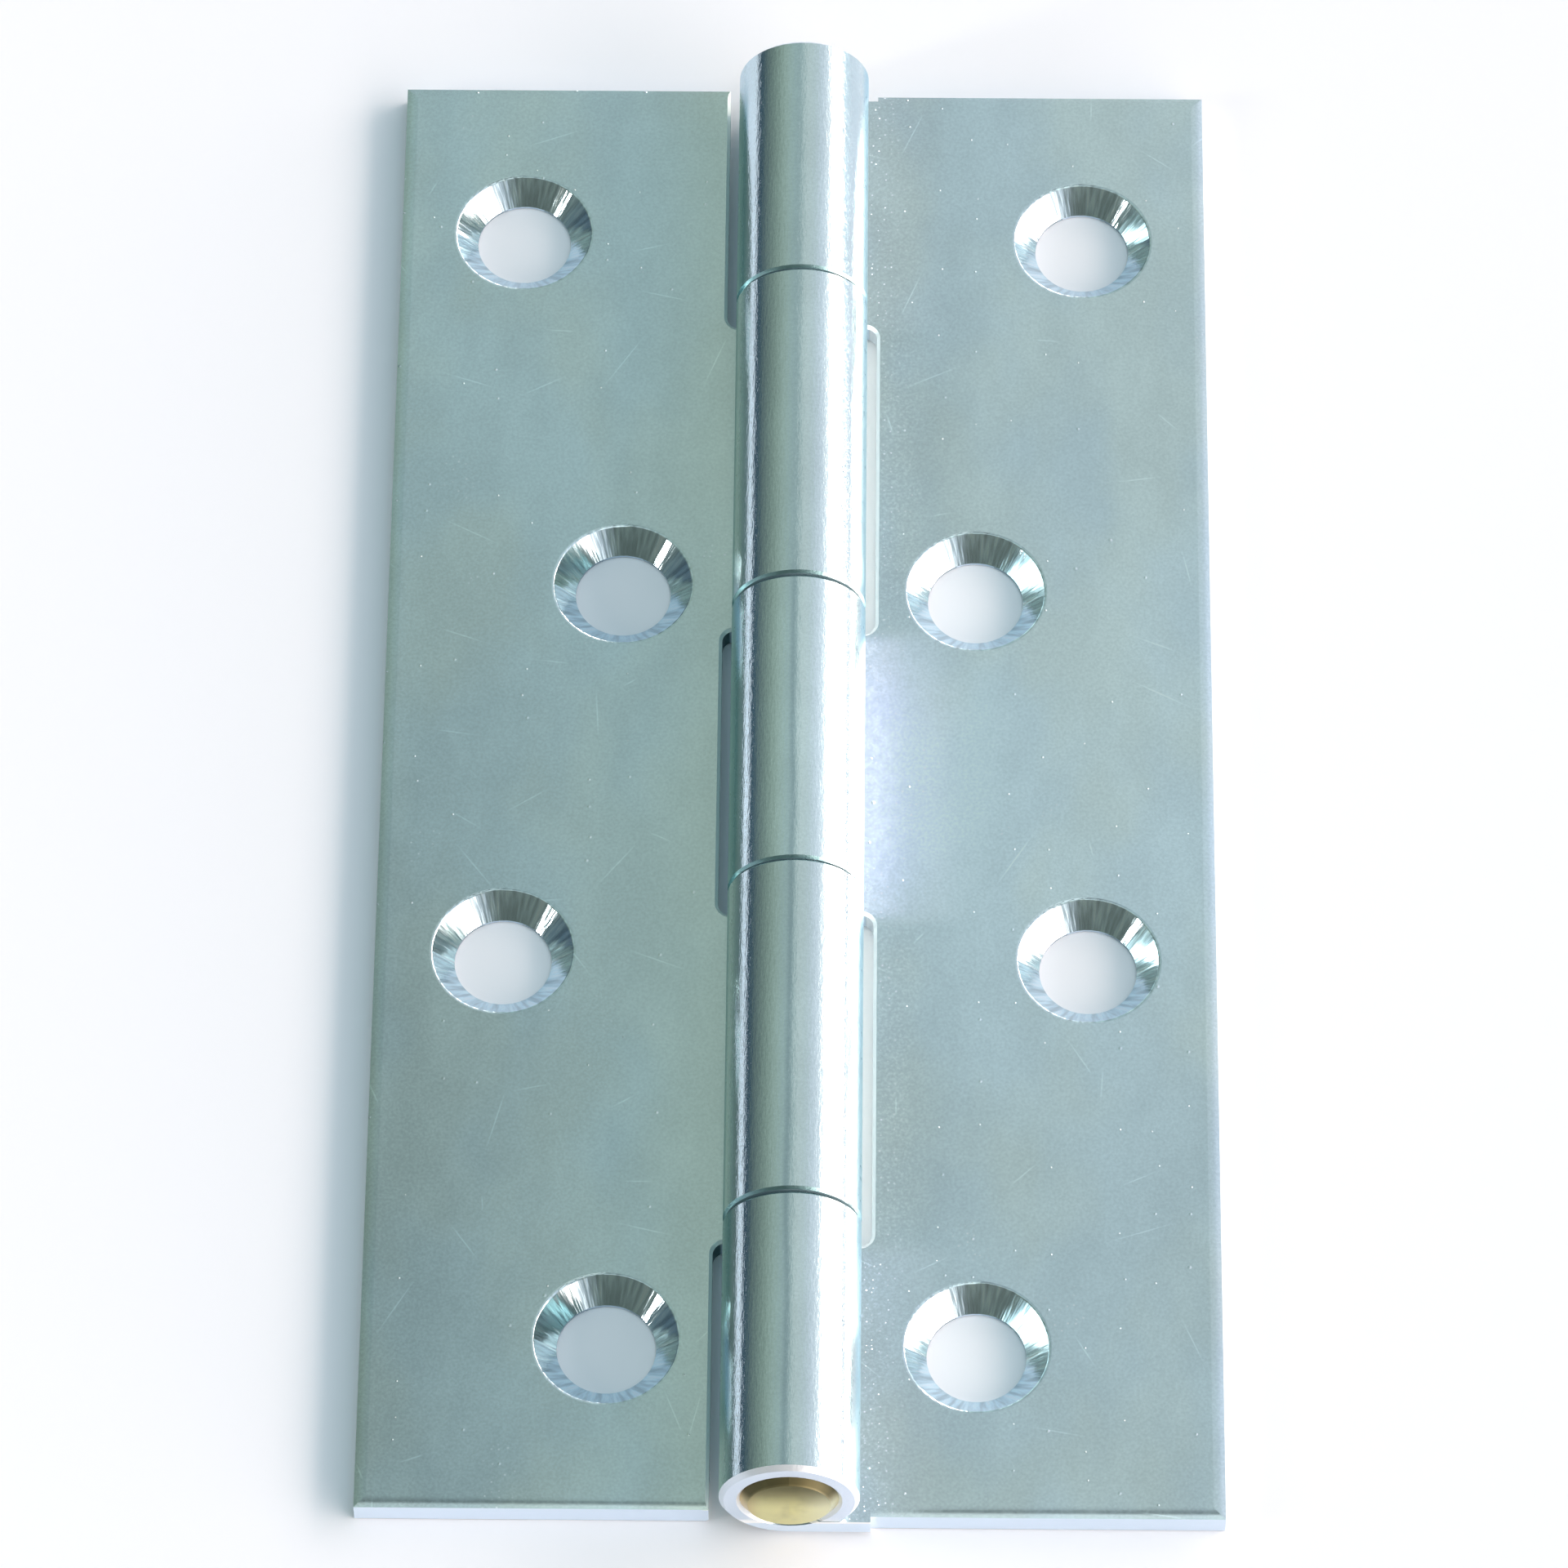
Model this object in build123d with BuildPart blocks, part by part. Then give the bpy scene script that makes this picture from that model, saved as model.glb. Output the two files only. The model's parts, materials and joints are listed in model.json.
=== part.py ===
from build123d import *
import os
from math import asin, atan, degrees, radians, tan

# Narrow rolled hinge: two sheet-steel leaves with eyes rolled round one riveted pin.
# X runs across the open leaves, Y along the pin and Z out of the countersunk faces.
# The origin is on the flat backs of the leaves, below the middle of the pin.

# Driving dimensions, in millimetres and degrees
hinge_length = 100.0  # along the pin
leaf_reach = 25.0  # pin axis to a leaf's outer edge
sheet_thickness = 1.5
pin_diameter = 5.0
pin_clearance = 0.04  # running clearance on the pin's radius

middle_knuckle = 19.8
paired_knuckle = 22.2  # each eye of the two-knuckle leaf
axial_play = 0.15  # mean gap between neighbouring eyes
barrel_shift = 0.4  # barrel's ends off the ends of the three-knuckle leaf, as stamped
pair_offset = 0.33  # paired eyes off the middle of their leaf, as stamped
notch_clearance = 0.6  # barrel to the notch edge of the facing leaf
notch_corner = 0.8  # corner radius of a notch
notch_ease_width = 0.2  # eased face edge round a notch
notch_ease_depth = 0.15
seam_gap = 0.1  # tip of a rolled eye above its own leaf
eye_edge = 0.15  # bevelled outer rim at the ends of an eye
barrel_edge = 0.28  # the same at the two ends of the barrel

hole_count = 4  # in each leaf, alternately in the outer and the inner row
hole_diameter = 5.8
hole_land = 0.15  # straight wall left under the countersink
countersink_angle = 90.0
countersink_rim = 0.25  # rounded rim of the countersink
end_margin = 11.0  # leaf end to the nearest hole
outer_row_margin = 7.6  # outer edge to the outer row
inner_row_margin = 6.1  # notch edge to the inner row

rollover_width = 0.7  # face drawn down by the punch along the cut edges
rollover_depth = 0.12

mouth_flare = 0.5  # conical mouth of the end eyes
pin_recess = 0.2  # rim of the spread pin end below the end of the barrel
pin_bevel = 0.45  # hammered edge of the pin end, above its rim
pin_crown = 0.12  # dome of the pin end above its bevel

# Sizes that follow
half_length = hinge_length / 2
pin_radius = pin_diameter / 2
bore_radius = pin_radius + pin_clearance
barrel_radius = bore_radius + sheet_thickness
notch_edge = barrel_radius + notch_clearance

pair_start = middle_knuckle / 2 + axial_play
pair_end = pair_start + paired_knuckle
end_start = pair_end + axial_play
pair_slip = axial_play / 3  # the paired eyes lie slipped along the pin within the play
near_eye_end = -half_length - barrel_shift
far_eye_end = half_length - barrel_shift

tip_drop = barrel_radius - sheet_thickness - seam_gap  # pin axis down to the flat tip of an eye
outside_sweep = 270 + degrees(asin(tip_drop / barrel_radius))
inside_sweep = 270 + degrees(asin(tip_drop / bore_radius))
notch_ease_taper = degrees(atan(notch_ease_width / notch_ease_depth))

hole_radius = hole_diameter / 2
countersink_depth = sheet_thickness - hole_land
countersink_radius = hole_radius + countersink_depth * tan(radians(countersink_angle / 2))
hole_pitch = (hinge_length - 2 * end_margin) / (hole_count - 1)
outer_row = leaf_reach - outer_row_margin
inner_row = notch_edge + inner_row_margin


def leaf_section(side):
    # flat leaf, with the eye rolled up from its back and round until its tip shuts on the leaf
    plane = Plane(origin=(0, 0, 0), x_dir=(side, 0, 0), z_dir=(0, -side, 0))
    with BuildSketch(plane) as section:
        with BuildLine():
            Line((leaf_reach, 0), (0, 0))
            outside = CenterArc((0, barrel_radius), barrel_radius, -90, -outside_sweep)
            inside = CenterArc((0, barrel_radius), bore_radius, -90, -inside_sweep)
            Line(outside @ 1, inside @ 1)
            Polyline((0, sheet_thickness), (leaf_reach, sheet_thickness), (leaf_reach, 0))
        make_face()
    return section.sketch


def notch_outline(side, low, high, start, level=0, margin=0):
    # the gap between two eyes, from the start out to the notch edge, widened by the margin
    depth = notch_edge + margin - start
    with BuildSketch(Plane.XY.offset(level)) as outline:
        with Locations((side * (start + depth / 2), (low + high) / 2)):
            Rectangle(depth, high - low + 2 * margin)
        inner_corners = outline.vertices().group_by(Axis.X)[-1 if side > 0 else 0]
        fillet(inner_corners, notch_corner + margin)
    return outline.sketch


def roll_leaf(side, slip, eye_ends, notches):
    # one stamped and rolled leaf on the +X or -X side of the pin, the middle of its plate at Y = slip
    plate_ends = (slip - half_length, slip + half_length)
    with BuildPart() as leaf:
        extrude(leaf_section(side), amount=half_length + 2 * notch_corner, both=True)

        # eyes and plate cut to their own lengths
        for inner, outer, ends in ((-2 * barrel_radius, notch_edge, eye_ends), (notch_edge, 2 * leaf_reach, plate_ends)):
            for end, outward in zip(ends, (-1, 1)):
                with BuildSketch():
                    with Locations((side * (inner + outer) / 2, end + outward * half_length)):
                        Rectangle(outer - inner, hinge_length)
                extrude(amount=3 * barrel_radius, both=True, mode=Mode.SUBTRACT)

        # notches where the other leaf's eyes turn
        for low, high in notches:
            through = notch_outline(side, low, high, -2 * barrel_radius)
            extrude(through, amount=2 * barrel_radius, both=True, mode=Mode.SUBTRACT)

        # outer rims of the eyes, bevelled with the back edges that run on from them
        rims = leaf.edges().filter_by(GeomType.CIRCLE)
        rims = rims.filter_by(lambda rim: abs(rim.radius - barrel_radius) < eye_edge)
        end_rims = rims.filter_by(lambda rim: abs(rim.arc_center.Y) > end_start + eye_edge)
        chamfer(rims - end_rims, eye_edge)
        if end_rims:
            chamfer(end_rims, barrel_edge)

        # eased edges of the notches, on the countersunk face
        for low, high in notches:
            start = notch_edge - 2 * notch_corner
            eased = notch_outline(side, low, high, start, sheet_thickness, notch_ease_width)
            extrude(eased, amount=-notch_ease_depth, taper=notch_ease_taper, mode=Mode.SUBTRACT)

        # countersunk screw holes, staggered along the leaf
        for step in range(hole_count):
            row = inner_row if step % 2 else outer_row
            along = slip + half_length - end_margin - step * hole_pitch
            with Locations((side * row, along, sheet_thickness)):
                CounterSinkHole(hole_radius, countersink_radius, counter_sink_angle=countersink_angle)
        rims = leaf.edges().filter_by(GeomType.CIRCLE)
        rims = rims.filter_by(lambda rim: abs(rim.radius - countersink_radius) < hole_land)
        fillet(rims, countersink_rim)

        # edges of the face drawn down by the punch, round the three outer sides
        first, last = plate_ends if side > 0 else plate_ends[::-1]
        with BuildLine() as cut_edge:
            Polyline((side * notch_edge, first, sheet_thickness), (side * leaf_reach, first, sheet_thickness),
                     (side * leaf_reach, last, sheet_thickness), (side * notch_edge, last, sheet_thickness))
        across = Plane(origin=cut_edge.line @ 0, x_dir=(0, side, 0), z_dir=cut_edge.line % 0)
        with BuildSketch(across):
            with BuildLine():
                drawn = TangentArc((rollover_width, 0), (0, -rollover_depth), tangent=(-1, 0))
                Polyline(drawn @ 1, (-rollover_width, -rollover_depth), (-rollover_width, rollover_depth),
                         (rollover_width, rollover_depth), drawn @ 0)
            make_face()
        sweep(path=cut_edge.line, transition=Transition.RIGHT, mode=Mode.SUBTRACT)
    return leaf.part


with BuildPart() as three_knuckle_leaf:
    notches = [(-end_start, -middle_knuckle / 2), (middle_knuckle / 2, end_start)]
    add(roll_leaf(1, 0, (near_eye_end, far_eye_end), notches))
    # conical mouths of the end eyes, where the pin's ends are spread
    for end, inward in ((near_eye_end, 1), (far_eye_end, -1)):
        with BuildSketch(Plane(origin=(0, end, barrel_radius), z_dir=(0, inward, 0))):
            Circle(bore_radius + mouth_flare)
        extrude(amount=mouth_flare, taper=45, mode=Mode.SUBTRACT)

with BuildPart() as two_knuckle_leaf:
    past_end = half_length + 4 * notch_corner
    notches = [(-past_end, -pair_end), (-pair_start, pair_start), (pair_end, past_end)]
    slipped = [(low + pair_slip, high + pair_slip) for low, high in notches]
    add(roll_leaf(-1, pair_slip + pair_offset, (-half_length, half_length), slipped))

with BuildPart() as hinge_pin:
    neck_end = half_length - mouth_flare - pin_clearance
    rim_end = half_length - pin_recess
    face_end = rim_end + pin_bevel
    rim_radius = bore_radius + mouth_flare - pin_recess
    face_radius = rim_radius - pin_bevel
    with BuildSketch(Plane(origin=(0, -barrel_shift, barrel_radius), x_dir=(0, 1, 0), z_dir=(1, 0, 0))):
        with BuildLine():
            Polyline((0, 0), (0, pin_radius), (neck_end, pin_radius), (rim_end, rim_radius),
                     (face_end, face_radius))
            TangentArc((face_end + pin_crown, 0), (face_end, face_radius), tangent=(0, 1))
            Line((face_end + pin_crown, 0), (0, 0))
        make_face()
    revolve(axis=Axis((0, 0, barrel_radius), (0, 1, 0)))
    mirror(about=Plane.XZ.offset(barrel_shift))

os.makedirs("parts", exist_ok=True)
three_knuckle_leaf.part.label = "three_knuckle_leaf"
two_knuckle_leaf.part.label = "two_knuckle_leaf"
hinge_pin.part.label = "hinge_pin"
export_step(three_knuckle_leaf.part, "parts/three_knuckle_leaf.step")
export_step(two_knuckle_leaf.part, "parts/two_knuckle_leaf.step")
export_step(hinge_pin.part, "parts/hinge_pin.step")
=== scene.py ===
import json
import math

import bmesh
import bpy
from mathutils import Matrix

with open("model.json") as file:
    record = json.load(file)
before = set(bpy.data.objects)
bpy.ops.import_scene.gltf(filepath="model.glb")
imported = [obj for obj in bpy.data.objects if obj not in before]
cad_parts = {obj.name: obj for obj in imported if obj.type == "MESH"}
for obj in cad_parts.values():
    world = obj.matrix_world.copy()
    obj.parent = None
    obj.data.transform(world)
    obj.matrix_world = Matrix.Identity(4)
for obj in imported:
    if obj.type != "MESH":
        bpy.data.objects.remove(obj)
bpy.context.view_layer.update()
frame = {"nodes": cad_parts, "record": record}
nodes = frame["nodes"]
mounts = {mount["name"]: mount for mount in frame["record"]["mounts"]}
millimetres = 1000.0

# Node helpers


def link(tree, value, socket):
    # a socket is linked, a number or a colour is set
    if isinstance(value, bpy.types.NodeSocket):
        tree.links.new(value, socket)
    elif isinstance(value, (tuple, list)) and len(value) == 3 and socket.type == "RGBA":
        socket.default_value = (*value, 1)
    else:
        socket.default_value = value


def addMath(tree, operation, first, second=None, third=None):
    node = tree.nodes.new("ShaderNodeMath")
    node.operation = operation
    for value, socket in zip((first, second, third), node.inputs):
        if value is not None:
            link(tree, value, socket)
    return node.outputs[0]


def addProduct(tree, product, *others):
    for other in others:
        product = addMath(tree, "MULTIPLY", product, other)
    return product


def addOutside(tree, value, mask):
    return addMath(tree, "SUBTRACT", value, addProduct(tree, value, mask))


def addShift(tree, base, mask, change):
    return addMath(tree, "MULTIPLY_ADD", mask, change, base)


def addSize(tree, value):
    return addMath(tree, "ABSOLUTE", value)


def addRange(tree, value, low, high, toLow=0.0, toHigh=1.0):
    node = tree.nodes.new("ShaderNodeMapRange")
    node.interpolation_type = "SMOOTHSTEP"
    for item, socket in zip((value, low, high, toLow, toHigh), node.inputs):
        link(tree, item, socket)
    return node.outputs["Result"]


def addMix(tree, factor, first, second, blend="MIX"):
    node = tree.nodes.new("ShaderNodeMix")
    node.data_type = "RGBA"
    node.blend_type = blend
    link(tree, factor, node.inputs["Factor"])
    link(tree, first, node.inputs[6])
    link(tree, second, node.inputs[7])
    return node.outputs[2]


def addTint(tree, mask, colour, shade):
    return addMix(tree, mask, colour, addMix(tree, 1.0, colour, shade, "MULTIPLY"))


def addRamp(tree, factor, stops):
    node = tree.nodes.new("ShaderNodeValToRGB")
    stretch = node.color_ramp
    while len(stretch.elements) < len(stops):
        stretch.elements.new(1.0)
    for element, (position, colour) in zip(stretch.elements, stops):
        element.position = position
        element.color = (*colour, 1)
    link(tree, factor, node.inputs["Fac"])
    return node.outputs["Color"]


def addShades(tree, value):
    node = tree.nodes.new("ShaderNodeCombineColor")
    for socket in node.inputs:
        link(tree, value, socket)
    return node.outputs[0]


def addVector(tree, operation, first, second=None):
    node = tree.nodes.new("ShaderNodeVectorMath")
    node.operation = operation
    for value, socket in zip((first, second), node.inputs):
        if value is not None:
            link(tree, value, socket)
    return node.outputs


def addParts(tree, direction):
    node = tree.nodes.new("ShaderNodeSeparateXYZ")
    link(tree, direction, node.inputs[0])
    return node.outputs


def addJoined(tree, *parts):
    node = tree.nodes.new("ShaderNodeCombineXYZ")
    for part, socket in zip(parts, node.inputs):
        link(tree, part, socket)
    return node.outputs[0]


def addWorld(tree, direction):
    # a direction on the piece, as it lies in the world
    node = tree.nodes.new("ShaderNodeVectorTransform")
    node.vector_type = "VECTOR"
    node.convert_from, node.convert_to = "OBJECT", "WORLD"
    link(tree, direction, node.inputs[0])
    return node.outputs[0]


def addNoise(tree, place, scale, detail=2.0, roughness=0.5):
    # noise with a scale for each axis
    stretch = tree.nodes.new("ShaderNodeMapping")
    stretch.inputs["Scale"].default_value = scale
    link(tree, place, stretch.inputs["Vector"])
    node = tree.nodes.new("ShaderNodeTexNoise")
    node.inputs["Scale"].default_value = 1.0
    node.inputs["Detail"].default_value = detail
    node.inputs["Roughness"].default_value = roughness
    link(tree, stretch.outputs[0], node.inputs["Vector"])
    return node.outputs["Fac"]


def addCells(tree, place, spacing):
    # flat cells with their own random draws
    cells = tree.nodes.new("ShaderNodeTexVoronoi")
    cells.voronoi_dimensions = "2D"
    link(tree, place, cells.inputs["Vector"])
    link(tree, addMath(tree, "DIVIDE", 1.0, spacing), cells.inputs["Scale"])
    draws = tree.nodes.new("ShaderNodeSeparateColor")
    link(tree, cells.outputs["Color"], draws.inputs[0])
    return cells.outputs, draws.outputs


def addGroup(tree, group, **values):
    node = tree.nodes.new("ShaderNodeGroup")
    node.node_tree = group
    for label, value in values.items():
        link(tree, value, node.inputs[label])
    return node.outputs


def newGroup(name, inputs, outputs):
    # a socket whose label is Place carries a vector, every other a number
    group = bpy.data.node_groups.new(name, "ShaderNodeTree")
    for labels, direction in ((inputs, "INPUT"), (outputs, "OUTPUT")):
        for label in labels:
            kind = "NodeSocketVector" if label == "Place" else "NodeSocketFloat"
            group.interface.new_socket(label, in_out=direction, socket_type=kind)
    start = group.nodes.new("NodeGroupInput")
    finish = group.nodes.new("NodeGroupOutput")
    return group, start.outputs, finish.inputs


def newMaterial(name):
    material = bpy.data.materials.new(name)
    material.use_nodes = True
    tree = material.node_tree
    return material, tree, tree.nodes["Principled BSDF"]


# Sky

studio = {
    # sky colour by its angle round the pin, from the zenith: left is negative, right positive
    "bands": [
        (-90, (0.035, 0.065, 0.10)),
        (-80, (0.055, 0.095, 0.13)),
        (-71, (0.115, 0.16, 0.165)),
        (-55, (0.19, 0.255, 0.235)),
        (-43, (0.265, 0.345, 0.31)),
        (-30, (0.345, 0.44, 0.41)),
        (-18, (0.36, 0.465, 0.465)),
        (-9, (0.325, 0.415, 0.435)),
        (-4, (0.35, 0.45, 0.465)),
        (0, (0.45, 0.545, 0.555)),
        (5, (0.55, 0.63, 0.64)),
        (20, (0.55, 0.635, 0.67)),
        (27, (0.60, 0.675, 0.745)),
        (36, (0.70, 0.765, 0.87)),
        (43, (0.82, 0.88, 0.98)),
        (49, (1.1, 1.13, 1.2)),
        (54, (2.2, 2.2, 2.25)),
        (60, (7.2, 6.1, 5.7)),
        (90, (7.2, 6.1, 5.7)),
    ],
    # parts of the sky with a colour of their own, with the cosines where each starts and is full
    "patches": [
        # unlit side behind the camera
        {"toward": (-0.35, -0.80, 0.47), "reach": (0.5, 0.9), "colour": (0.115, 0.145, 0.13)},
        # wall beyond the window
        {"toward": (0.658, 0.75, 0.07), "reach": (0.9548, 0.9632), "colour": (0.72, 0.86, 1.0)},
        # dark camera overhead
        {"toward": (0.0, 0.115, 0.9934), "reach": (0.988, 0.9965), "colour": (0.08, 0.11, 0.12)},
    ],
}


def makeWorld():
    world = bpy.data.worlds.new("studioSky")
    bpy.context.scene.world = world
    world.use_nodes = True
    tree = world.node_tree
    tree.nodes.clear()
    outward = tree.nodes.new("ShaderNodeTexCoord").outputs["Generated"]
    parts = addParts(tree, outward)
    angle = addMath(tree, "ARCTAN2", parts["X"], parts["Z"])
    turns = addMath(tree, "DIVIDE", angle, 2 * math.pi)
    level = addMath(tree, "ADD", turns, 0.5)
    sky = addRamp(tree, level, [(0.5 + degrees / 360, colour) for degrees, colour in studio["bands"]])

    for patch in studio["patches"]:
        cosine = addVector(tree, "DOT_PRODUCT", outward, patch["toward"])["Value"]
        sky = addMix(tree, addRange(tree, cosine, *patch["reach"]), sky, patch["colour"])

    background = tree.nodes.new("ShaderNodeBackground")
    output = tree.nodes.new("ShaderNodeOutputWorld")
    link(tree, sky, background.inputs["Color"])
    link(tree, background.outputs[0], output.inputs["Surface"])


# Lamps: a soft one lights dull surfaces, a shiny one shows in the metal

lamps = [
    {"name": "fill", "place": (0.02, -0.08, 0.9), "size": (0.7, 0.9), "power": 1.05,
     "colour": (0.22, 0.66, 1.0), "soft": True, "shine": False},
    {"name": "edgeBar", "place": (0.0, -0.17, 0.9), "size": (0.7, 0.3), "power": 0.3,
     "colour": (0.95, 0.98, 1.0), "soft": False, "shine": True},
    {"name": "leftBar", "place": (-0.60, -0.236, 0.256), "size": (0.045, 0.16), "power": 0.8,
     "colour": (1.0, 1.0, 1.0), "soft": True, "shine": True},
]


def makeLamp(row):
    lamp = bpy.data.lights.new(row["name"], "AREA")
    lamp.shape = "RECTANGLE"
    lamp.size, lamp.size_y = row["size"]
    lamp.energy = row["power"]
    lamp.color = row["colour"]
    piece = bpy.data.objects.new(row["name"], lamp)
    piece.visible_diffuse = row["soft"]
    piece.visible_glossy = row["shine"]
    piece.location = row["place"]
    piece.rotation_euler = piece.location.to_track_quat("Z", "Y").to_euler()
    bpy.context.scene.collection.objects.link(piece)


# Floor

floorLook = {
    "half": 3.0,
    "drop": 0.00004,
    "bounce": (0.69, 0.705, 0.72),
    "seen": (1.0, 0.985, 1.0),  # as the camera sees it
    "mirrored": (0.78, 0.835, 0.94),  # as the metal shows it
}


def makeFloor():
    mesh = bpy.data.meshes.new("floor")
    shape = bmesh.new()
    bmesh.ops.create_grid(shape, x_segments=1, y_segments=1, size=floorLook["half"])
    bmesh.ops.translate(shape, vec=(0, 0, -floorLook["drop"]), verts=shape.verts)
    shape.to_mesh(mesh)
    shape.free()
    floor = bpy.data.objects.new("floor", mesh)
    bpy.context.scene.collection.objects.link(floor)

    material, tree, shader = newMaterial("paleFloor")
    ray = tree.nodes.new("ShaderNodeLightPath").outputs
    mirrored = addMath(tree, "MAXIMUM", ray["Is Glossy Ray"], ray["Is Transmission Ray"])
    colour = addMix(tree, mirrored, floorLook["bounce"], floorLook["mirrored"])
    colour = addMix(tree, ray["Is Camera Ray"], colour, floorLook["seen"])
    paper = tree.nodes.new("ShaderNodeBsdfDiffuse")
    link(tree, colour, paper.inputs["Color"])
    link(tree, paper.outputs[0], tree.nodes["Material Output"].inputs["Surface"])
    tree.nodes.remove(shader)
    mesh.materials.append(material)


# Camera

view = {
    "lens": 210.39,
    "sensor": 36.0,
    "clip": (0.01, 20),
    "place": (0.003313, -0.288871, 0.470517),
    "turn": (31.5535, 0.4275, 0.4008),
}


def makeCamera():
    camera = bpy.data.objects.new("camera", bpy.data.cameras.new("camera"))
    camera.data.lens = view["lens"]
    camera.data.sensor_width = view["sensor"]
    camera.data.clip_start, camera.data.clip_end = view["clip"]
    camera.location = view["place"]
    camera.rotation_mode = "ZYX"
    camera.rotation_euler = [math.radians(turn) for turn in view["turn"]]
    bpy.context.scene.collection.objects.link(camera)
    bpy.context.scene.camera = camera


# Shared surface effects, all in millimetres

grainNoises = {
    # scale for each axis, detail and roughness
    "Fine": ((5.5, 5.5, 5.5), 3.0, 0.65),
    "Flecks": ((2.0, 1.3, 2.0), 2.0),
    "Cloud": ((0.13, 0.07, 0.13), 2.0),
    "Patch": ((0.3, 0.16, 0.3), 2.0),
    "Knots": ((0.21, 0.17, 0.21), 1.0),
    "Drawn": ((6.0, 1.6, 6.0), 3.0, 0.6),
}
smallestSpeck = 0.3  # as a share of the largest
shortestScratch = 0.2  # as a share of the longest


def makePlaceGroup():
    # place on the piece, distance from its middle, and how far it faces up and along the pin
    tree, _, finish = newGroup("hingePlace", [], ["Place", "X", "Y", "Z", "Side", "Up", "Endward"])
    coordinates = tree.nodes.new("ShaderNodeTexCoord").outputs
    scaled = tree.nodes.new("ShaderNodeVectorMath")
    scaled.operation = "SCALE"
    scaled.inputs["Scale"].default_value = millimetres
    link(tree, coordinates["Object"], scaled.inputs[0])
    parts = addParts(tree, scaled.outputs[0])
    facing = addParts(tree, coordinates["Normal"])
    link(tree, scaled.outputs[0], finish["Place"])
    for axis in "XYZ":
        link(tree, parts[axis], finish[axis])
    link(tree, addSize(tree, parts["X"]), finish["Side"])
    link(tree, facing["Z"], finish["Up"])
    link(tree, addSize(tree, facing["Y"]), finish["Endward"])
    return tree


def makeScrewGroup():
    # distance to the nearest screw axis, in the outer or the inner row
    tree, start, finish = newGroup("screwRings", ["Side", "Y", "Outer", "Inner", "First", "Spacing"],
                                   ["Distance", "Across", "Along"])
    half = addMath(tree, "MULTIPLY", start["Spacing"], 0.5)
    below = addMath(tree, "MULTIPLY", start["Spacing"], -0.5)
    spots = []
    for row, shift in (("Outer", 0.0), ("Inner", 1.0)):
        across = addMath(tree, "SUBTRACT", start["Side"], start[row])
        along = addMath(tree, "SUBTRACT", start["Y"], start["First"])
        along = addMath(tree, "MULTIPLY_ADD", half, shift, along)
        along = addMath(tree, "WRAP", along, half, below)
        squares = addMath(tree, "MULTIPLY_ADD", along, along, addProduct(tree, across, across))
        spots.append((across, along, addMath(tree, "SQRT", squares)))
    nearer = addMath(tree, "LESS_THAN", spots[0][2], spots[1][2])
    link(tree, addMath(tree, "MINIMUM", spots[0][2], spots[1][2]), finish["Distance"])
    for label, index in (("Across", 0), ("Along", 1)):
        change = addMath(tree, "SUBTRACT", spots[0][index], spots[1][index])
        link(tree, addMath(tree, "MULTIPLY_ADD", change, nearer, spots[1][index]), finish[label])
    return tree


def makeGrainGroup():
    tree, start, finish = newGroup("zincGrain", ["Place"], list(grainNoises))
    for label, settings in grainNoises.items():
        link(tree, addNoise(tree, start["Place"], *settings), finish[label])
    return tree


def makeSpeckGroup():
    # round specks, one to a cell at most, of mixed sizes
    tree, start, finish = newGroup("specks", ["Place", "Spacing", "Size", "Share"], ["Mask", "Shade"])
    cells, draws = addCells(tree, start["Place"], start["Spacing"])
    chosen = addMath(tree, "LESS_THAN", draws[0], start["Share"])
    share = addMath(tree, "MULTIPLY_ADD", draws[1], 1 - smallestSpeck, smallestSpeck)
    reach = addProduct(tree, start["Size"], share)
    apart = addProduct(tree, cells["Distance"], start["Spacing"])
    link(tree, addProduct(tree, addRange(tree, apart, reach, 0.0), chosen), finish["Mask"])
    link(tree, draws[2], finish["Shade"])
    return tree


def makeScratchGroup():
    # straight hairlines, one to a cell at most, each with its own turn and length
    tree, start, finish = newGroup("scratches", ["Place", "Spacing", "Length", "Width", "Share"], ["Mask"])
    cells, draws = addCells(tree, start["Place"], start["Spacing"])
    offset = addVector(tree, "SUBTRACT", start["Place"], cells["Position"])[0]
    turned = tree.nodes.new("ShaderNodeVectorRotate")
    turned.rotation_type = "Z_AXIS"
    link(tree, offset, turned.inputs["Vector"])
    link(tree, addProduct(tree, draws[0], math.pi), turned.inputs["Angle"])
    parts = addParts(tree, turned.outputs[0])
    across = addRange(tree, addSize(tree, parts["X"]), start["Width"], 0.0)
    share = addMath(tree, "MULTIPLY_ADD", draws[1], 1 - shortestScratch, shortestScratch)
    reach = addProduct(tree, start["Length"], share)
    along = addRange(tree, addSize(tree, parts["Y"]), reach, 0.0)
    chosen = addMath(tree, "LESS_THAN", draws[2], start["Share"])
    link(tree, addProduct(tree, across, along, chosen), finish["Mask"])
    return tree


effects = {
    "place": makePlaceGroup(),
    "screws": makeScrewGroup(),
    "grain": makeGrainGroup(),
    "specks": makeSpeckGroup(),
    "scratches": makeScratchGroup(),
}
print("effects ready")

# Zinc of the two leaves

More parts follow.
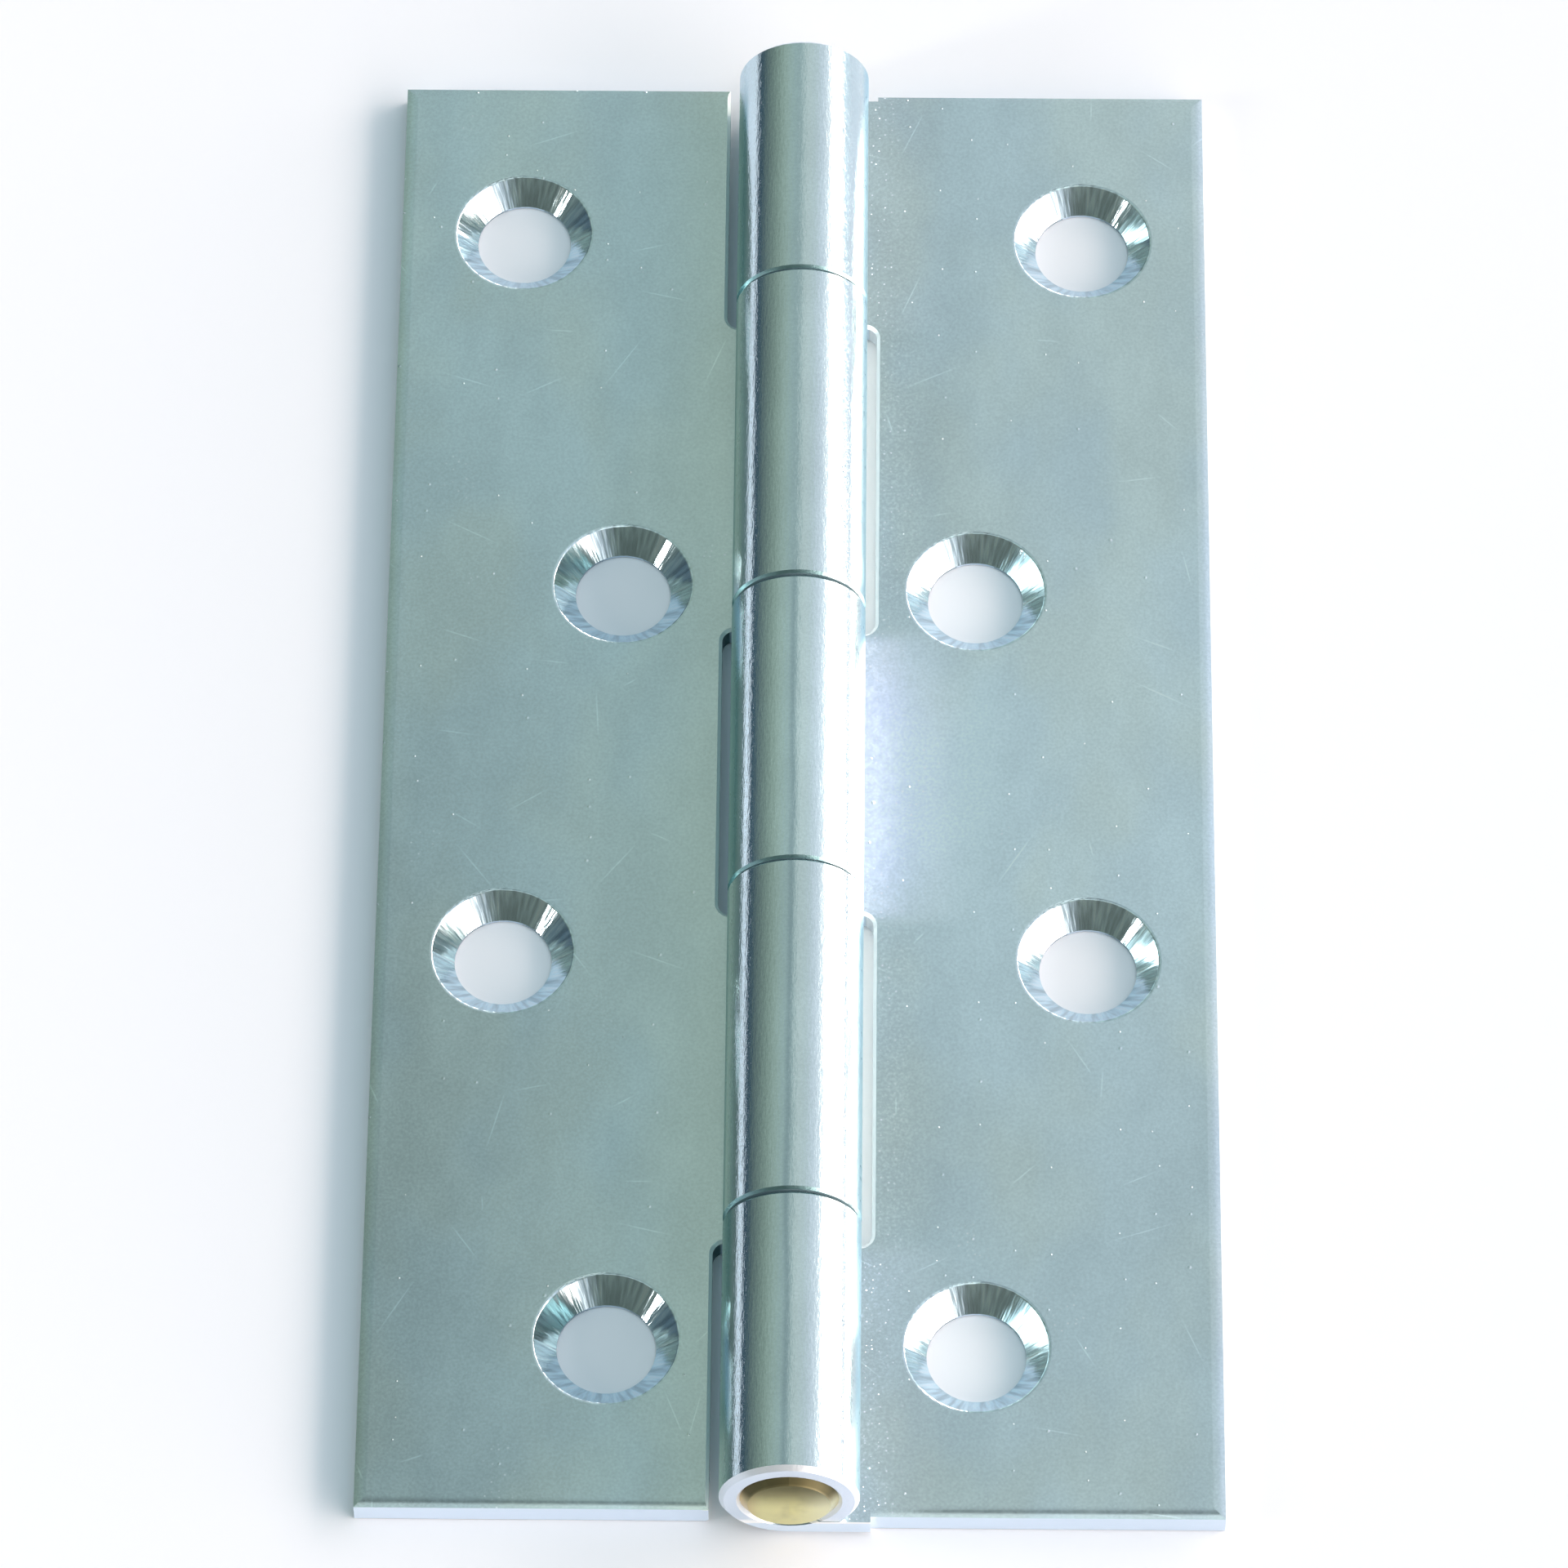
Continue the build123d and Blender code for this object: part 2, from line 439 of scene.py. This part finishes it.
zincLook = {
    # where each finish starts and is full: places in millimetres, facings as parts of the normal
    "barrelSide": (4.35, 4.1),
    "barrelFoot": (1.52, 1.9),
    "barrelEnds": (49.2, 49.5),
    "sinkRim": (4.5, 4.36),
    "sinkTop": (1.5, 1.46),
    "sinkFacing": (-0.6, -0.2),  # keeps the flat backs plain
    "uprightFacing": (0.3, 0.1),
    "endFacing": (0.85, 0.95),
    "easeFacing": (0.95, 0.88),
    "easeFrom": 1.3,
    "notchReach": 5.0,
    "rimFacing": (0.3, 0.5),
    "rimFade": (3.2, 1.2, 0.2),  # the painted rim shade weaker towards the window
    "flankEnds": (48.5, 45.0),
    "rightFlank": (3.6, 3.95),
    "dullFlanks": ((3.1, 3.7), (-3.4, -3.8)),
    "topFacing": (0.9, 0.98),
    # colours, each with its share of metal
    "flatMetal": 0.92,
    "barrelColour": (0.735, 0.835, 0.83),
    "barrelMetal": 1.0,
    "sinkColour": (0.73, 0.86, 0.89),
    "lipColour": (0.90, 0.93, 0.96),  # the barrel's two ends and their bevel
    "lipMetal": 0.5,
    "endColour": (0.76, 0.87, 0.97),  # sheared ends of the leaves
    "endMetal": 0.42,
    "innerColour": (0.31, 0.43, 0.46),  # dull ends of the eyes within the barrel
    "innerMetal": 0.0,
    "sideColour": (0.50, 0.56, 0.58),  # sheared sides
    "speckColour": (0.95, 0.97, 1.0),
    # tints over a colour: painted shade on the rims and flanks, a painted bluish reflection, and a drawn
    # line
    "rimShade": (0.43, 0.60, 0.62),  # painted shade on the bevelled rims of the eyes
    "flankShade": (0.36, 0.54, 0.57),  # painted shade low on the barrel, on the side away from the window
    "rightShade": (0.72, 0.92, 1.0),  # painted reflection, bluish low on the barrel, towards the window
    "streak": {"middle": -0.28, "half": 0.3, "wander": 0.8, "ends": (12.0, 9.0),
               "shade": (0.80, 0.82, 0.84)},  # drawn line along the barrel
    # uneven tone: the noise's range and the shades that it gives
    "cloud": (0.38, 0.62),
    "patch": (0.3, 0.7, 0.96, 1.04),
    "fine": (0.25, 0.75, 0.94, 1.06),
    "marks": (0.3, 0.7, 0.72, 1.3),
    "markScale": (0.5, 9.0, 1.0),
    "flecks": (0.25, 0.75, 0.9, 1.1),
    "knots": (0.66, 0.74, 0.0, 0.8),
    # slow changes of tone across the leaves, with a painted glow and sheen, painted shade in a corner and
    # beside the eyes, painted glints beside the barrel, specks, dust and scratches
    "glowReach": (12.5, 4.2),
    "glowFall": 1.6,
    "sheenMiddle": -2.0,
    "sheenReach": (26.0, 4.0),
    "sheenBase": 1.02,
    "dimAcross": (5.0, 25.0),
    "dimAlong": (45.0, -30.0),
    "besideReach": (12.0, 6.5),
    "sparkleReach": (7.5, 4.6),
    "scratchShade": 0.22,
    "specks": {"Spacing": 2.1, "Size": 0.14, "Share": 0.24},
    "dust": {"Spacing": 0.42, "Size": 0.11, "Share": 0.4},
    "scratches": {"Spacing": 6.0, "Length": 2.8, "Width": 0.07, "Share": 0.6},
    # roughness
    "flatRoughness": 0.2,
    "barrelRoughness": 0.1,
    "sinkRoughness": 0.11,
    "rimRoughness": 0.36,
    "cutRoughness": 0.42,
    "dull": 0.2,  # rougher low on the barrel
    "sinkSpread": 0.5,  # turned marks spread the light down the wall
    # bump heights
    "grain": 0.0011,
    "drawn": 0.014,
    "chatter": 0.03,
    "speck": 0.03,
    # the face's rise to the eyes, and the flakes and frost on it
    "leanStart": 4.1,
    "rootBlend": 0.7,
    "leanFlecks": (0.3, 0.7, 0.94, 1.06),
    "flake": (0.25, 0.5),
    "frost": (0.5, 0.8, 0.0, 0.3),
    "frostReach": (8.0, 4.3),
    "frostLength": (9.0, 14.0, 0.06, 1.0),
}

leafLooks = {
    "three_knuckle_leaf": {
        "screws": "pinned_leaf",
        "colour": (0.72, 0.82, 0.825),
        "blueColour": (0.69, 0.81, 0.865),
        # painted glow: a pale bluish tint beside the barrel, for window light reflected off it
        "glowColour": (0.71, 0.80, 1.0),
        "glow": 0.8,
        "glowLength": (11.0, 3.0),
        # pale painted glints beside the barrel, and the lean of flakes there
        "sparkle": 0.7,
        "wallColour": (0.92, 0.95, 0.97),  # notches, pale as painted light in the slots beside the barrel
        "wallMetal": 0.35,
        "easeColour": (0.94, 0.97, 0.98),
        "easeMetal": 0.2,
        "flank": (-3.35, -3.65),
        "lean": 0.355,  # slope of the face where it rises to the rolled eyes
        "leanReach": 14.0,
        "leanFall": 3.5,
        # stretches along the pin with their share of the lean
        "roots": [(-60.0, 60.0, 0.08), (-10.2, 9.7, 0.92), (32.4, 60.0, 0.2), (-60.0, -32.6, 0.4)],
        "rootShade": 0.13,  # painted shade, darker beside the eyes at its ends
        "paintedSheen": 0.1,  # painted sheen, brighter across its middle
        "dim": 0.06,  # painted shade, darker towards the outer near corner
    },
    "two_knuckle_leaf": {
        "screws": "swing_leaf",
        "colour": (0.665, 0.785, 0.765),
        "blueColour": (0.64, 0.78, 0.80),
        # painted reflection: an olive tint beside the barrel, along its whole length
        "glowColour": (0.695, 0.785, 0.69),
        "glow": 0.8,
        "glowLength": (200.0, 100.0),
        "sparkle": 0.0,
        # notches, dark as painted shade in the slots beside the barrel
        "wallColour": (0.1, 0.2, 0.19),
        "wallMetal": 0.92,
        "easeColour": (0.84, 0.95, 0.90),
        "easeMetal": 0.1,
        "flank": (-3.85, -4.0),
        "lean": 0.025,
        "leanReach": 14.0,
        "leanFall": 0.8,
        "roots": [(-60.0, 60.0, 1.0)],
        "rootShade": 0.0,
        "paintedSheen": 0.0,
        # painted shade towards the outer near corner
        "dim": 0.27,
    },
}


def addScrews(tree, place, own):
    outer = mounts[own["screws"] + "_outer_screws"]
    inner = mounts[own["screws"] + "_inner_screws"]
    spacing = outer["dims"]["spacing_y_mm"]
    return addGroup(tree, effects["screws"], Side=place["Side"], Y=place["Y"],
                    Outer=abs(outer["pos_m"][0]) * millimetres, Inner=abs(inner["pos_m"][0]) * millimetres,
                    First=outer["pos_m"][1] * millimetres + spacing / 2, Spacing=spacing)


def addZincMasks(tree, place, screws, look, own):
    along = addSize(tree, place["Y"])
    upright = addRange(tree, addSize(tree, place["Up"]), *look["uprightFacing"])
    on = {}
    on["barrel"] = addProduct(tree, addRange(tree, place["Side"], *look["barrelSide"]),
                              addRange(tree, place["Z"], *look["barrelFoot"]))
    on["sink"] = addProduct(tree, addRange(tree, screws["Distance"], *look["sinkRim"]),
                            addRange(tree, place["Z"], *look["sinkTop"]),
                            addRange(tree, place["Up"], *look["sinkFacing"]))
    offBarrel = addMath(tree, "SUBTRACT", 1.0, on["barrel"])
    on["flat"] = addMath(tree, "SUBTRACT", offBarrel, on["sink"])

    # sheared ends and sides, and the walls and eased edges of the notches
    on["end"] = addProduct(tree, upright, addRange(tree, place["Endward"], *look["endFacing"]))
    on["leafEnd"] = addOutside(tree, on["end"], on["barrel"])
    on["inner"] = addProduct(tree, on["end"], on["barrel"],
                             addRange(tree, along, *look["barrelEnds"], 1.0, 0.0))
    on["side"] = addProduct(tree, addMath(tree, "SUBTRACT", upright, on["end"]), offBarrel)
    eased = addProduct(tree, addRange(tree, place["Up"], *look["easeFacing"]),
                       addMath(tree, "GREATER_THAN", place["Z"], look["easeFrom"]))
    eased = addMath(tree, "SUBTRACT", addMath(tree, "MAXIMUM", on["side"], eased), on["side"])
    byNotch = addProduct(tree, addMath(tree, "LESS_THAN", place["Side"], look["notchReach"]), offBarrel)
    on["wall"] = addProduct(tree, on["side"], byNotch)
    on["ease"] = addProduct(tree, eased, byNotch)

    # bevels of the eyes, and the flanks of the barrel
    bevel = addProduct(tree, on["barrel"], addRange(tree, place["Endward"], *look["rimFacing"]))
    bevel = addOutside(tree, bevel, on["end"])
    on["lip"] = addProduct(tree, bevel, addRange(tree, along, *look["barrelEnds"]))
    on["rim"] = addProduct(tree, addMath(tree, "SUBTRACT", bevel, on["lip"]),
                           addRange(tree, place["X"], *look["rimFade"]))
    on["flank"] = addProduct(tree, on["barrel"], addRange(tree, place["X"], *own["flank"]),
                             addRange(tree, along, *look["flankEnds"]))
    on["rightFlank"] = addProduct(tree, on["barrel"], addRange(tree, place["X"], *look["rightFlank"]))
    low = [addRange(tree, place["X"], *reach) for reach in look["dullFlanks"]]
    on["dull"] = addProduct(tree, on["barrel"], addMath(tree, "MAXIMUM", *low))
    on["cut"] = addMath(tree, "MAXIMUM", addMath(tree, "MAXIMUM", on["end"], on["side"]), on["lip"])
    return on


def addZincShade(tree, place, grain, scratches, on, glowLength, look, own):
    # uneven tone, a painted sheen across the middle, painted shade in a dim corner and beside the roots,
    # and scratches
    shade = addProduct(tree, addRange(tree, grain["Patch"], *look["patch"]),
                       addRange(tree, grain["Fine"], *look["fine"]))
    middle = addSize(tree, addMath(tree, "ADD", place["Y"], -look["sheenMiddle"]))
    paintedSheen = addRange(tree, middle, *look["sheenReach"], look["sheenBase"], look["sheenBase"] + own["paintedSheen"])
    shade = addProduct(tree, shade, paintedSheen)
    corner = addProduct(tree, addRange(tree, place["Side"], *look["dimAcross"]),
                        addRange(tree, place["Y"], *look["dimAlong"]))
    shade = addShift(tree, shade, corner, -own["dim"])
    beside = addProduct(tree, addRange(tree, place["Side"], *look["besideReach"]),
                        addMath(tree, "SUBTRACT", 1.0, glowLength), on["flat"])
    shade = addShift(tree, shade, beside, -own["rootShade"])
    return addShift(tree, shade, addProduct(tree, scratches["Mask"], on["flat"]), look["scratchShade"])


def addZincColour(tree, place, grain, specks, dust, scratches, marks, on, look, own):
    # clouded passivation, with a painted glow beside the barrel for the light it reflects onto the leaf
    glowReach = addMath(tree, "POWER", addRange(tree, place["Side"], *look["glowReach"]), look["glowFall"])
    glowLength = addRange(tree, addSize(tree, place["Y"]), *own["glowLength"])
    glow = addProduct(tree, glowReach, glowLength, on["flat"], own["glow"])
    colour = addMix(tree, addRange(tree, grain["Cloud"], *look["cloud"]), own["colour"], own["blueColour"])
    colour = addMix(tree, glow, colour, own["glowColour"])
    colour = addMix(tree, on["barrel"], colour, look["barrelColour"])
    shade = addZincShade(tree, place, grain, scratches, on, glowLength, look, own)
    colour = addMix(tree, 1.0, colour, addShades(tree, shade), "MULTIPLY")

    # pale specks, dust in clusters, and pale painted glints beside the barrel
    sparkle = addProduct(tree, addRange(tree, place["Side"], *look["sparkleReach"]), own["sparkle"])
    sparkle = addMath(tree, "MAXIMUM", sparkle, addRange(tree, grain["Knots"], *look["knots"]))
    sparkle = addProduct(tree, dust["Mask"], sparkle, on["flat"])
    pale = addMath(tree, "MAXIMUM", addProduct(tree, specks["Mask"], specks["Shade"]), sparkle)
    colour = addMix(tree, pale, colour, look["speckColour"])

    # a wandering drawn line, painted shade on the rims and the low flank of the barrel, and a painted
    # bluish reflection low on its window side
    streak = look["streak"]
    wander = addMath(tree, "MULTIPLY_ADD", grain["Cloud"], streak["wander"],
                     -streak["wander"] / 2 - streak["middle"])
    apart = addSize(tree, addMath(tree, "ADD", place["X"], wander))
    onStreak = addProduct(tree, addRange(tree, apart, streak["half"], 0.0), on["barrel"],
                          addRange(tree, place["Y"], *streak["ends"]))
    colour = addTint(tree, onStreak, colour, streak["shade"])
    colour = addTint(tree, on["rim"], colour, look["rimShade"])
    colour = addTint(tree, on["flank"], colour, look["flankShade"])
    colour = addTint(tree, on["rightFlank"], colour, look["rightShade"])

    # countersinks and cut edges, with painted light on one leaf's notch walls and painted shade on the
    # other's
    turned = addShades(tree, addRange(tree, marks, *look["marks"]))
    colour = addMix(tree, on["sink"], colour, addMix(tree, 1.0, turned, look["sinkColour"], "MULTIPLY"))
    colour = addMix(tree, on["lip"], colour, look["lipColour"])
    ends = addMix(tree, on["barrel"], look["endColour"], look["lipColour"])
    for mask, cutColour in (("end", ends), ("inner", look["innerColour"]), ("side", look["sideColour"]),
                            ("wall", own["wallColour"]), ("ease", own["easeColour"])):
        colour = addMix(tree, on[mask], colour, cutColour)
    return colour


def addZincMetal(tree, on, look, own):
    flat, barrel = look["flatMetal"], look["barrelMetal"]
    metal = flat
    for mask, change in (("barrel", barrel - flat), ("wall", own["wallMetal"] - flat),
                         ("ease", own["easeMetal"] - flat), ("lip", look["lipMetal"] - barrel),
                         ("inner", look["innerMetal"] - barrel), ("leafEnd", look["endMetal"] - flat)):
        metal = addShift(tree, metal, on[mask], change)
    return metal


def addZincRoughness(tree, grain, on, look):
    flat, barrel = look["flatRoughness"], look["barrelRoughness"]
    rough = flat
    for mask, change in (("barrel", barrel - flat), ("sink", look["sinkRoughness"] - flat),
                         ("rim", look["rimRoughness"] - barrel), ("dull", look["dull"]),
                         ("cut", look["cutRoughness"] - flat)):
        rough = addShift(tree, rough, on[mask], change)
    return addProduct(tree, rough, addRange(tree, grain["Flecks"], *look["flecks"]))


def addZincLean(tree, place, grain, dust, on, look, own):
    # the face rises a little to the rolled eyes, so its normal leans away from the barrel
    reach = 0.0
    blend = look["rootBlend"]
    for low, high, share in own["roots"]:
        span = addProduct(tree, addRange(tree, place["Y"], low - blend, low + blend),
                          addRange(tree, place["Y"], high + blend, high - blend))
        reach = addShift(tree, reach, span, share)
    fall = addMath(tree, "POWER", addRange(tree, place["Side"], own["leanReach"], look["leanStart"]),
                   own["leanFall"])
    lean = addProduct(tree, reach, fall, own["lean"], addRange(tree, grain["Flecks"], *look["leanFlecks"]))

    # flakes and frost catch the window, beside the eyes at the ends
    least, spread = look["flake"]
    flake = addProduct(tree, dust["Mask"], addMath(tree, "MULTIPLY_ADD", dust["Shade"], spread, least))
    frost = addRange(tree, grain["Fine"], *look["frost"])
    near = addProduct(tree, addRange(tree, place["Side"], *look["frostReach"]),
                      addRange(tree, addSize(tree, place["Y"]), *look["frostLength"]))
    glints = addProduct(tree, addMath(tree, "MAXIMUM", flake, frost), near)
    lean = addShift(tree, lean, glints, own["sparkle"])

    onTop = addProduct(tree, on["flat"], addRange(tree, place["Up"], *look["topFacing"]))
    lean = addProduct(tree, lean, onTop, addMath(tree, "SIGN", place["X"]))
    facing = tree.nodes.new("ShaderNodeNewGeometry").outputs["Normal"]
    total = addVector(tree, "ADD", facing, addWorld(tree, addJoined(tree, lean)))[0]
    return addVector(tree, "NORMALIZE", total)[0]


def addZincRelief(tree, grain, specks, marks, on, lean, look):
    # grain on the flats, drawn lines on the barrel, chatter in the countersinks, raised specks
    height = addProduct(tree, grain["Fine"], addProduct(tree, on["flat"], look["grain"]))
    for texture, mask, tall in ((grain["Drawn"], "barrel", "drawn"), (marks, "sink", "chatter"),
                                (specks["Mask"], "flat", "speck")):
        part = addProduct(tree, texture, addProduct(tree, on[mask], look[tall]))
        height = addMath(tree, "ADD", height, part)
    bump = tree.nodes.new("ShaderNodeBump")
    bump.inputs["Distance"].default_value = 1.0 / millimetres
    link(tree, height, bump.inputs["Height"])
    link(tree, lean, bump.inputs["Normal"])
    return bump.outputs[0]


def makeZinc(name, look, own):
    material, tree, shader = newMaterial(name)
    place = addGroup(tree, effects["place"])
    screws = addScrews(tree, place, own)
    grain = addGroup(tree, effects["grain"], Place=place["Place"])
    specks = addGroup(tree, effects["specks"], Place=place["Place"], **look["specks"])
    dust = addGroup(tree, effects["specks"], Place=place["Place"], **look["dust"])
    scratches = addGroup(tree, effects["scratches"], Place=place["Place"], **look["scratches"])
    on = addZincMasks(tree, place, screws, look, own)

    # marks turned round the nearest screw, and the way down the wall of its countersink
    turn = addMath(tree, "ARCTAN2", screws["Along"], screws["Across"])
    marks = addNoise(tree, addJoined(tree, screws["Distance"], turn), look["markScale"])
    across = addProduct(tree, screws["Across"], addMath(tree, "SIGN", place["X"]))
    slope = addWorld(tree, addJoined(tree, across, screws["Along"]))

    lean = addZincLean(tree, place, grain, dust, on, look, own)
    finishes = {
        "Base Color": addZincColour(tree, place, grain, specks, dust, scratches, marks, on, look, own),
        "Metallic": addZincMetal(tree, on, look, own),
        "Roughness": addZincRoughness(tree, grain, on, look),
        "Tangent": slope,
        "Anisotropic": addProduct(tree, on["sink"], look["sinkSpread"]),
        "Normal": addZincRelief(tree, grain, specks, marks, on, lean, look),
    }
    for label, value in finishes.items():
        link(tree, value, shader.inputs[label])
    return material


# Brass of the pin

brassLook = {
    "colour": (0.90, 0.78, 0.36),
    "tarnish": (0.55, 0.46, 0.22),
    "smudge": (0.45, 0.75, 0.0, 0.7),
    "smudgeScale": (0.45, 0.45, 0.45),
    "smudgeDetail": 3.0,
    # painted reflection: orange towards the shaded left of each end, pale towards the lit right
    "shadedSide": (0.72, 0.50, 0.24),
    "shadedSideReach": (-1.4, -2.7, 0.0, 0.8),
    "pale": (0.96, 0.88, 0.56),
    "paleSide": (0.0, 2.4, 0.0, 0.7),
    "spots": {"Spacing": 1.4, "Size": 0.16, "Share": 0.3},
    "spotShade": 0.7,
    "paintedShade": (0.075, 0.068, 0.032),  # painted shade on the upper bevel and face of the ends
    "axisHeight": 4.04,
    "bevel": (2.1, 2.5),
    "bevelShade": (-0.2, 1.2, 0.0, 0.92),
    "faceShade": (-0.6, 2.2, 0.0, 0.85),
    "shankColour": (0.30, 0.42, 0.42),  # dull within the eyes
    "middle": -0.4,
    "shank": (49.4, 49.3),
    "roughness": 0.28,
    "matteRoughness": 0.6,
}


def makeBrass(name, look):
    material, tree, shader = newMaterial(name)
    place = addGroup(tree, effects["place"])
    smudge = addNoise(tree, place["Place"], look["smudgeScale"], look["smudgeDetail"])
    spots = addGroup(tree, effects["specks"], Place=place["Place"], **look["spots"])
    colour = addMix(tree, addRange(tree, smudge, *look["smudge"]), look["colour"], look["tarnish"])
    # painted reflection: orange to the left, pale to the right
    colour = addMix(tree, addRange(tree, place["X"], *look["shadedSideReach"]), colour, look["shadedSide"])
    colour = addMix(tree, addRange(tree, place["X"], *look["paleSide"]), colour, look["pale"])
    colour = addMix(tree, addProduct(tree, spots["Mask"], look["spotShade"]), colour, look["tarnish"])

    # painted shade over the upper part of each end, and a dull shank
    lift = addMath(tree, "SUBTRACT", place["Z"], look["axisHeight"])
    squares = addMath(tree, "MULTIPLY_ADD", lift, lift, addProduct(tree, place["X"], place["X"]))
    onBevel = addRange(tree, addMath(tree, "SQRT", squares), *look["bevel"])
    shaded = addProduct(tree, onBevel, addRange(tree, lift, *look["bevelShade"]))
    shaded = addMath(tree, "MAXIMUM", shaded, addRange(tree, lift, *look["faceShade"]))
    colour = addMix(tree, shaded, colour, look["paintedShade"])
    along = addSize(tree, addMath(tree, "SUBTRACT", place["Y"], look["middle"]))
    onShank = addRange(tree, along, *look["shank"])
    colour = addMix(tree, onShank, colour, look["shankColour"])
    link(tree, colour, shader.inputs["Base Color"])
    shader.inputs["Metallic"].default_value = 1.0
    matte = addMath(tree, "MAXIMUM", onShank, shaded)
    rough = addShift(tree, look["roughness"], matte, look["matteRoughness"] - look["roughness"])
    link(tree, rough, shader.inputs["Roughness"])
    return material


bpy.context.scene.view_settings.view_transform = "Standard"
makeWorld()
for row in lamps:
    makeLamp(row)
makeFloor()
makeCamera()
print("studio ready")

for leafName, own in leafLooks.items():
    nodes[leafName].material_slots[0].material = makeZinc("zinc_" + leafName, zincLook, own)
nodes["hinge_pin"].material_slots[0].material = makeBrass("brass", brassLook)
print("finishes ready")
